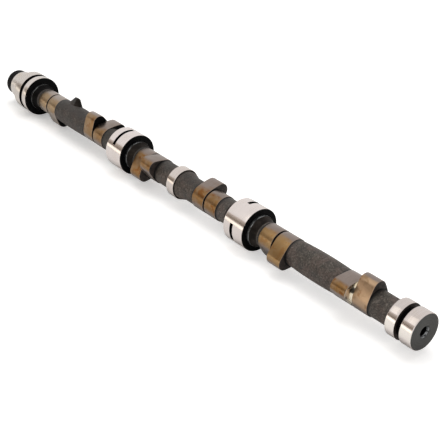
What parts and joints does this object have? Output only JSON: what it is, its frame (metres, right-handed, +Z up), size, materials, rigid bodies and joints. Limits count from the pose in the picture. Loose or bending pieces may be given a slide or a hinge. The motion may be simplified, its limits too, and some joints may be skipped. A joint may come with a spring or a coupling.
{
  "type": "camshaft",
  "caption": "Cast camshaft for an in-line engine: paired cam lobes, stepped bearing journals with oil slots, a gear seat with key slot and a grooved rear journal.",
  "frame": {"origin": "on the shaft's axis at the middle of the front journal", "axes": "+X along the axis towards the rear journal, +Z up as the shaft lies in the picture"},
  "size_m": [0.6902, 0.0478, 0.048],
  "materials": {
    "chilled_iron": "as-cast shaft with ground journals and lobes"
  },
  "bodies": {
    "root": {"camshaft": "chilled_iron"}
  },
  "joints": []
}
